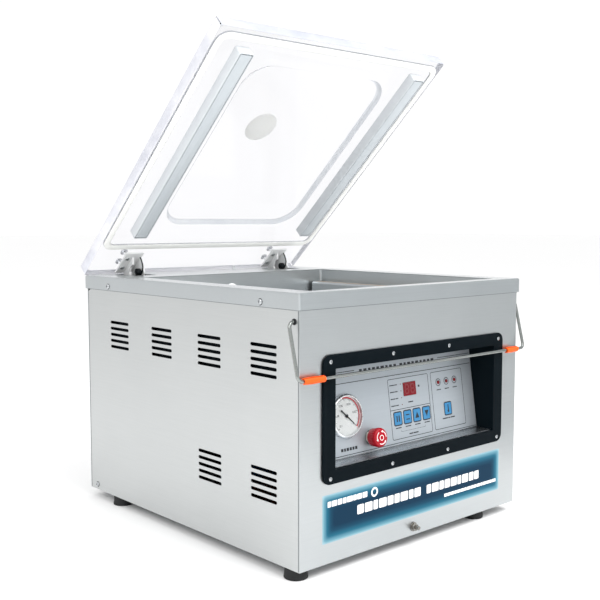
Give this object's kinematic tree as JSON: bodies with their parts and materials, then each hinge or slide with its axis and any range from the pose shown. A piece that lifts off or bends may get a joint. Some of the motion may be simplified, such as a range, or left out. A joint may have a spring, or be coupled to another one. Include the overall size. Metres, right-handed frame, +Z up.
{
  "type": "vacuum packing machine",
  "caption": "Tabletop chamber vacuum packing machine in stainless steel with a hinged clear lid, seal bars, a wire lid bail and a recessed control panel.",
  "frame": {"origin": "centre of the bounding box in plan, on the surface that the rubber feet stand on, with the lid open", "axes": "+Z up; +X to the right seen from the front; the control panel and bail face -Y, the lid hinges are at +Y"},
  "size_m": [0.5078, 0.5866, 0.7723],
  "materials": {
    "casing_steel": "brushed stainless sheet",
    "chamber_steel": "satin stainless, deep drawn",
    "inner_steel": "plain folded sheet",
    "bright_metal": "polished",
    "bare_aluminium": "extruded, anodised",
    "clear_lid": "polished acrylic",
    "white_seal": "matt off-white sponge",
    "grey_silicone": "matt",
    "black_rubber": "matt",
    "black_plastic": "fine grained",
    "black_metal": "blackened",
    "white_plastic": "smooth",
    "orange_plastic": "soft tube",
    "red_plastic": "glossy",
    "panel_film": "printed polyester film",
    "key_film": "printed polyester film",
    "display_lens": "tinted",
    "gauge_lens": "polished",
    "circuit_board": "solder resist",
    "pump_paint": "blue enamel",
    "winding": "varnished copper"
  },
  "bodies": {
    "casing": {"base_plate": "inner_steel", "front_panel": "casing_steel", "left_side_panel": "casing_steel", "right_side_panel": "casing_steel", "rear_panel": "casing_steel", "foot_front_left": "black_rubber", "foot_rear_left": "black_rubber", "foot_front_right": "black_rubber", "foot_rear_right": "black_rubber", "earth_stud": "bright_metal", "power_inlet": "black_plastic", "deck": "casing_steel", "chamber": "chamber_steel", "vacuum_port": "white_plastic", "filler_plate": "white_plastic", "seal_carrier_left": "bare_aluminium", "seal_carrier_right": "bare_aluminium", "lift_bladder_left": "black_rubber", "lift_bladder_right": "black_rubber", "hinge_base_left": "inner_steel", "hinge_base_right": "inner_steel", "hinge_pin_left": "bright_metal", "hinge_pin_right": "bright_metal", "lid_switch_body": "black_plastic", "control_bezel": "black_plastic", "control_panel": "casing_steel", "panel_overlay": "panel_film", "display_window": "display_lens", "gauge_case": "bright_metal", "gauge_glass": "gauge_lens", "estop_collar": "bright_metal", "control_board": "circuit_board", "bail_bush_left": "black_plastic", "bail_bush_right": "black_plastic", "vacuum_pump": "pump_paint", "seal_transformer": "winding", "solenoid_valve": "black_plastic", "vacuum_hose": "black_rubber"},
    "lid": {"lid": "clear_lid", "lid_gasket": "white_seal", "press_pad_left": "grey_silicone", "press_pad_right": "grey_silicone", "hinge_bracket_left": "casing_steel", "hinge_bracket_right": "casing_steel", "hinge_spring_left": "black_metal", "hinge_spring_right": "black_metal"},
    "bail": {"wire_bail": "bright_metal", "bail_sleeve_left": "orange_plastic", "bail_sleeve_right": "orange_plastic"},
    "needle": {"gauge_needle": "black_metal"},
    "estop_stem": {"estop_stem": "black_plastic"},
    "estop_head": {"estop_head": "red_plastic"},
    "key_left": {"key_left": "key_film"},
    "key_right": {"key_right": "key_film"},
    "key_up": {"key_up": "key_film"},
    "key_down": {"key_down": "key_film"},
    "key_heat": {"key_heat": "key_film"},
    "bar_left": {"seal_bar_left": "bare_aluminium"},
    "bar_right": {"seal_bar_right": "bare_aluminium"},
    "switch_pin": {"lid_switch_pin": "bright_metal"}
  },
  "joints": [
    {"name": "lid_hinge", "type": "hinge", "parent": "casing", "child": "lid", "pos_m": [0, 0.266, 0.365], "axis": [1, 0, 0], "range_deg": [0, 42.6], "stiffness_Nm_per_rad": 24, "springref_deg": -80.21},
    {"name": "bail_swing", "type": "hinge", "parent": "casing", "child": "bail", "pos_m": [0, -0.2695, 0.3525], "axis": [-1, 0, 0], "range_deg": [0, 199]},
    {"name": "needle_turn", "type": "hinge", "parent": "casing", "child": "needle", "pos_m": [-0.12, -0.24581, 0.20596], "axis": [0, -0.9899, 0.1419], "range_deg": [0, 270], "stiffness_Nm_per_rad": 0.001, "springref_deg": -17.19},
    {"name": "estop_press", "type": "slide", "parent": "casing", "child": "estop_stem", "axis": [0, 0.9899, -0.1419], "range_m": [0, 0.005]},
    {"name": "estop_twist", "type": "hinge", "parent": "estop_stem", "child": "estop_head", "pos_m": [-0.074, -0.26301, 0.17055], "axis": [0, 0.9899, -0.1419], "range_deg": [0, 45], "stiffness_Nm_per_rad": 0.02, "springref_deg": -5.73},
    {"name": "key_left_press", "type": "slide", "parent": "casing", "child": "key_left", "axis": [0, 0.9899, -0.1419], "range_m": [0, 0.0004], "stiffness_N_per_m": 400, "springref_m": -0.0002},
    {"name": "key_right_press", "type": "slide", "parent": "casing", "child": "key_right", "axis": [0, 0.9899, -0.1419], "range_m": [0, 0.0004], "stiffness_N_per_m": 400, "springref_m": -0.0002},
    {"name": "key_up_press", "type": "slide", "parent": "casing", "child": "key_up", "axis": [0, 0.9899, -0.1419], "range_m": [0, 0.0004], "stiffness_N_per_m": 400, "springref_m": -0.0002},
    {"name": "key_down_press", "type": "slide", "parent": "casing", "child": "key_down", "axis": [0, 0.9899, -0.1419], "range_m": [0, 0.0004], "stiffness_N_per_m": 400, "springref_m": -0.0002},
    {"name": "key_heat_press", "type": "slide", "parent": "casing", "child": "key_heat", "axis": [0, 0.9899, -0.1419], "range_m": [0, 0.0004], "stiffness_N_per_m": 400, "springref_m": -0.0002},
    {"name": "bar_left_lift", "type": "slide", "parent": "casing", "child": "bar_left", "axis": [0, 0, 1], "range_m": [0, 0.007]},
    {"name": "bar_right_lift", "type": "slide", "parent": "casing", "child": "bar_right", "axis": [0, 0, 1], "range_m": [0, 0.007]},
    {"name": "switch_press", "type": "slide", "parent": "casing", "child": "switch_pin", "axis": [0, 0, -1], "range_m": [0, 0.0075]}
  ],
  "couplings": [
    {"joint": "bar_right_lift", "follows": "bar_left_lift", "ratio": 1},
    {"joint": "switch_press", "follows": "lid_hinge", "m_per_rad": 0.009684}
  ]
}
